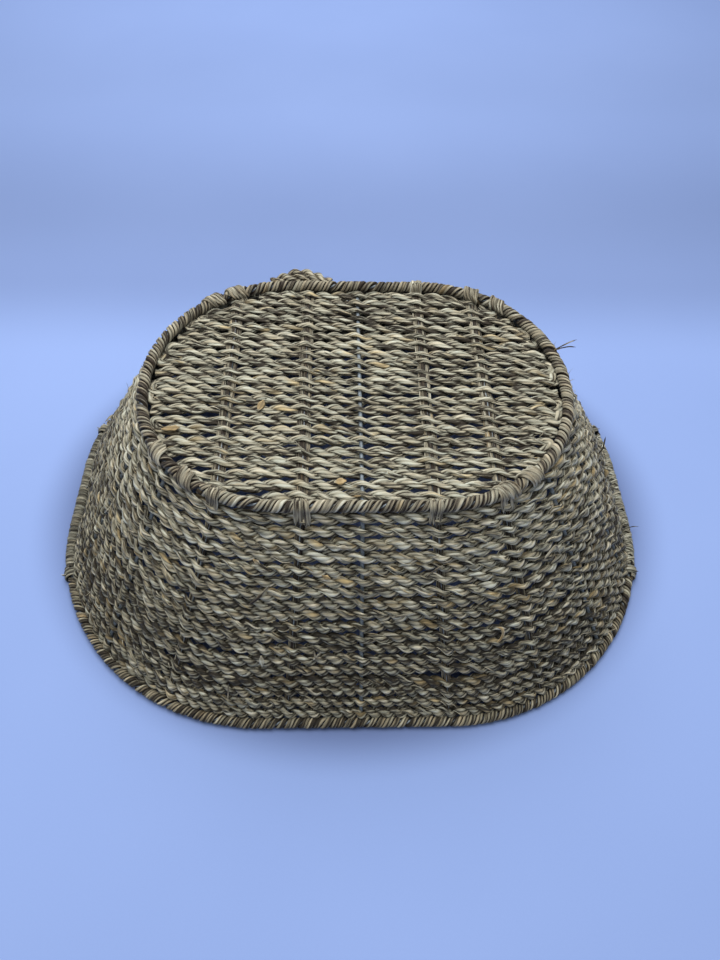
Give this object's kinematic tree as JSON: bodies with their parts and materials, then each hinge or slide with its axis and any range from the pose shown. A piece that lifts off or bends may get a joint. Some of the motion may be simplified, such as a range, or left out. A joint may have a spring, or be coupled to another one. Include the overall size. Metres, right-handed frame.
{
  "type": "storage basket",
  "caption": "Oval-cornered seagrass storage basket on a welded wire frame, with flared woven walls, a wrapped rim and two end grips, standing upside down on its rim.",
  "frame": {"origin": "centre of the plane that the rim rests on, under the middle of the upturned base", "axes": "+X along the basket's length, +Y across its depth to the back, +Z from the rim up to the base's underside"},
  "size_m": [0.42, 0.35, 0.136],
  "materials": {
    "frame_wire": "dull galvanised wire",
    "base_rope": "two-ply twisted seagrass, dry and matt",
    "wall_rope": "two-ply twisted seagrass, dry and matt",
    "border_wrap": "tightly wrapped seagrass strand",
    "lashing": "flat seagrass strips",
    "rim_wrap": "tightly wrapped seagrass strand",
    "grip_wrap": "thickly wrapped seagrass strand"
  },
  "bodies": {
    "root": {"base_ring_wire": "frame_wire", "rim_ring_wire": "frame_wire", "long_stake_1": "frame_wire", "long_stake_2": "frame_wire", "long_stake_3": "frame_wire", "long_stake_4": "frame_wire", "long_stake_5": "frame_wire", "corner_stake_front_left": "frame_wire", "corner_stake_front_right": "frame_wire", "corner_stake_back_left": "frame_wire", "corner_stake_back_right": "frame_wire", "end_stakes_left": "frame_wire", "end_stakes_right": "frame_wire", "base_rope_1": "base_rope", "base_rope_2": "base_rope", "base_rope_3": "base_rope", "base_rope_4": "base_rope", "base_rope_5": "base_rope", "base_rope_6": "base_rope", "base_rope_7": "base_rope", "base_rope_8": "base_rope", "base_rope_9": "base_rope", "base_rope_10": "base_rope", "base_rope_11": "base_rope", "wall_rope_1": "wall_rope", "wall_rope_2": "wall_rope", "wall_rope_3": "wall_rope", "wall_rope_4": "wall_rope", "wall_rope_5": "wall_rope", "wall_rope_6": "wall_rope", "wall_rope_7": "wall_rope", "wall_rope_8": "wall_rope", "hand_hole_rope_front": "wall_rope", "hand_hole_rope_back": "wall_rope", "border_front": "border_wrap", "border_back": "border_wrap", "border_left": "border_wrap", "border_right": "border_wrap", "lashing_1": "lashing", "lashing_2": "lashing", "lashing_3": "lashing", "lashing_4": "lashing", "lashing_5": "lashing", "lashing_6": "lashing", "lashing_7": "lashing", "rim_wrap_front": "rim_wrap", "rim_wrap_back": "rim_wrap", "grip_left": "grip_wrap", "grip_right": "grip_wrap", "grip_knots_left": "grip_wrap", "grip_knots_right": "grip_wrap", "border_tail": "border_wrap"}
  },
  "joints": []
}
